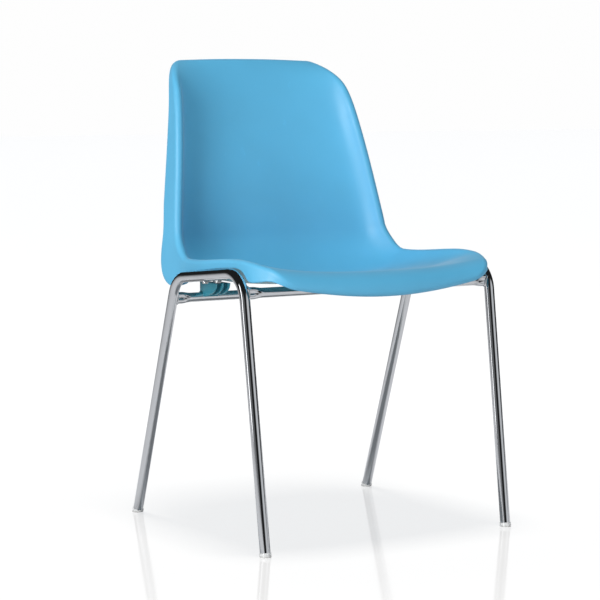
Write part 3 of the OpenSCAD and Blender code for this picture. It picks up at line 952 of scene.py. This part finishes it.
def mark_painted_shade(moulding, shown):
    """Gives the moulding its "inside" attribute, the weight of the painted shade: full on the
    inner skin low down, fading out higher up; its first points, up to shown, are outside.
    """
    height = np.array([vertex.co.z for vertex in moulding.data.vertices]) / MM
    low = smooth_step((PAINTED_SHADE_NONE_ABOVE - height) / (PAINTED_SHADE_NONE_ABOVE - PAINTED_SHADE_FULL_BELOW))
    inside = moulding.data.attributes.new("inside", "FLOAT", "POINT")
    painted_shade_weight = (np.arange(len(height)) >= shown) * low
    inside.data.foreach_set("value", painted_shade_weight.astype(np.float32))


bosses = [boss(side, k * SCREW_PITCH / 2) for side in SIDES.values() for k in (-1, 1)]
*skins, shown = shell_mesh()
mark_painted_shade(make_piece("moulded_shell", merge(skins, *bosses), "shell_plastic", "shell"), shown)

bars = {"front_crossbar": bar_axis("front_crossbar"), "rear_crossbar": bar_axis("rear_crossbar")}
for number, (node, at) in enumerate(bars.items()):
    make_piece(node + "_tube", crossbar(at), "chromed_steel", node)
    for word, side in SIDES.items():
        bead = weld_bead(crossbar_end_ring(at, side, WELD_STEPS), seed=3 + number)
        make_piece(f"{node}_{word}_weld", bead, "chromed_steel")

plate_low = PLATE_TOP - PLATE_T
washer_low = plate_low - WASHER_T
for word, side in SIDES.items():
    make_piece(word + "_bent_tube", side_tube(side), "chromed_steel", word + "_side_frame")
    make_piece(word + "_plate", fixing_plate(side), "chromed_steel", word + "_fixing_plate")
    washers = [at_rail(washer(), side, k * SCREW_PITCH / 2, washer_low) for k in (-1, 1)]
    make_piece(word + "_washers", merge(*washers), "zinc_fixings", word + "_screw_washers",
               sharp=30.0)
    for end, k in (("front", -1), ("rear", 1)):
        fixed = at_rail(screw(), side, k * SCREW_PITCH / 2, washer_low - HEAD_H)
        make_piece(f"{word}_{end}_pan_screw", fixed, "zinc_fixings", f"{word}_{end}_screw",
                   sharp=35.0)
    make_piece(word + "_buffer", stacking_buffer(side, bars["rear_crossbar"]), "buffer_plastic",
               word + "_stacking_buffer", sharp=50.0)
    for end, foot, lean in (("front", front_foot, FRONT_LEAN), ("rear", rear_foot, -REAR_LEAN)):
        make_piece(f"{end}_{word}_foot_cap", glide(side, foot, lean, end == "front"),
                   "glide_plastic", f"{end}_{word}_glide", sharp=40.0)


# ------------------------------------------------------------------ studio, in metres
def studio_floor():
    half = 30.0
    corners = [(x * half, y * half, 0) for x, y in ((-1, -1), (1, -1), (1, 1), (-1, 1))]
    mesh = bpy.data.meshes.new("floor")
    mesh.from_pydata(corners, [], [(0, 1, 2, 3)])
    mesh.materials.append(studio_white("floor"))
    floor = bpy.data.objects.new("floor", mesh)
    scene.collection.objects.link(floor)
    return floor


def studio_world():
    """Dim room with soft patches of light: two for diffuse light, and four that only reflections
    see. To the camera it is plain white."""
    world = bpy.data.worlds.new("studio")
    scene.world = world
    world.use_nodes = True
    nodes = Nodes(world.node_tree)
    path = nodes.new("ShaderNodeLightPath")

    def patch(azimuth, elevation, dark_from, bright_to, strength):
        """Round patch around a direction, given the cosines of the angles from it at which it
        turns dark and fully bright. Azimuth is counted from +X towards +Y."""
        a, e = math.radians(azimuth), math.radians(elevation)
        facing = nodes.new("ShaderNodeVectorMath", operation="DOT_PRODUCT")
        nodes.put(nodes.coords.outputs["Generated"], facing.inputs[0])
        nodes.put((math.cos(a) * math.cos(e), math.sin(a) * math.cos(e), math.sin(e)),
                  facing.inputs[1])
        return nodes.ramp(facing.outputs["Value"], dark_from, bright_to, 0.0, strength)

    front_fill = patch(290, 6, 0.66, 0.92, 0.66)
    rear_fill = patch(75, 12, 0.30, 0.90, 0.50)
    front_panel = patch(297, 8, 0.85, 0.97, 0.60)
    left_panel = patch(204, 8, 0.88, 0.98, 0.16)
    low_panel = patch(128, -45, 0.60, 0.70, 0.12)
    rear_panel = patch(58, 6, 0.93, 0.985, 1.0)
    mirrored = front_panel
    for panel in (left_panel, low_panel, rear_panel):
        mirrored = nodes.maths("ADD", mirrored, panel)
    fill = nodes.maths("ADD", front_fill, rear_fill)
    light = nodes.mix(path.outputs["Is Glossy Ray"], fill, mirrored, kind="FLOAT")
    room = nodes.tree.nodes["Background"]
    nodes.put((0.96, 0.98, 1.0, 1.0), room.inputs["Color"])
    nodes.put(nodes.maths("ADD", light, 0.015), room.inputs["Strength"])
    plain = nodes.new("ShaderNodeBackground")
    nodes.put((1.0, 1.0, 1.0, 1.0), plain.inputs["Color"])
    nodes.put(0.99, plain.inputs["Strength"])
    nodes.output("World Output", path.outputs["Is Camera Ray"], room.outputs["Background"],
                 plain.outputs["Background"])


def soft_box(name, place, target, width, height, power):
    """Rectangular lamp at a place, pointed at a target."""
    light = bpy.data.lights.new(name, "AREA")
    light.shape = "RECTANGLE"
    light.size, light.size_y = width, height
    light.energy = power
    lamp = bpy.data.objects.new(name, light)
    scene.collection.objects.link(lamp)
    lamp.location = place
    lamp.rotation_euler = (Vector(target) - Vector(place)).to_track_quat("-Z", "Y").to_euler()
    return lamp


def limit(name, lamps, state, *things):
    """Lets lamps light only these things, or all but these."""
    group = bpy.data.collections.new("lit_" + name)
    for thing in things:
        group.objects.link(thing)
    for entry in group.collection_objects:
        entry.light_linking.link_state = state
    for lamp in lamps:
        lamp.light_linking.receiver_collection = group


def studio_lamps(floor):
    """The overhead lamp lights the floor alone, so that the shadow there is soft and straight
    below; the ceiling and low_front lamps light the chair alone. The key lights what is
    neither chrome nor floor, and the strip only the chrome."""
    key = soft_box("key", (-2.95, -1.07, 1.15), (0, 0, 0.5), 0.95, 2.1, 112)
    strip = soft_box("strip", (-3.05, 0.05, 1.1), (0, 0, 0.5), 0.62, 2.2, 10)
    overhead = soft_box("overhead", (0, 0, 4.0), (0, 0, 0), 1.0, 1.0, 125)
    ceiling = soft_box("ceiling", (0, -0.6, 3.6), (0, 0, 0.4), 1.5, 1.5, 50)
    low_front = soft_box("low_front", (0.35, -1.25, 0.15), (0.05, -0.25, 0.43), 0.5, 0.3, 3.2)
    low_front.visible_camera = False
    for lamp in (overhead, ceiling, low_front):
        lamp.visible_glossy = False
    chrome = [piece for piece in scene.objects if piece.type == "MESH"
              and piece.data.materials[0] == finishes["chromed_steel"]]
    limit("key", (key,), "EXCLUDE", floor, *chrome)
    limit("soft", (ceiling, low_front), "EXCLUDE", floor)
    limit("chrome", (strip,), "INCLUDE", *chrome)
    limit("floor", (overhead,), "INCLUDE", floor)


def studio_camera():
    """Long lens at the photographed angle. Azimuth is counted from +Y towards -X."""
    azimuth, pitch, roll = -31.021, -5.5, -0.08
    camera = bpy.data.cameras.new("camera")
    camera.lens = 129.87
    camera.sensor_width = 36.0
    camera.clip_end = 200.0
    holder = bpy.data.objects.new("camera", camera)
    scene.collection.objects.link(holder)
    a, e = math.radians(azimuth), math.radians(pitch)
    view = Vector((-math.sin(a) * math.cos(e), math.cos(a) * math.cos(e), math.sin(e)))
    turn = view.to_track_quat("-Z", "Y").to_matrix() @ Matrix.Rotation(math.radians(roll), 3, "Z")
    holder.matrix_world = Matrix.Translation((-1.930, -3.1605, 0.735)) @ turn.to_4x4()
    scene.camera = holder


studio_world()
studio_lamps(studio_floor())
studio_camera()
scene.view_settings.view_transform = "Standard"
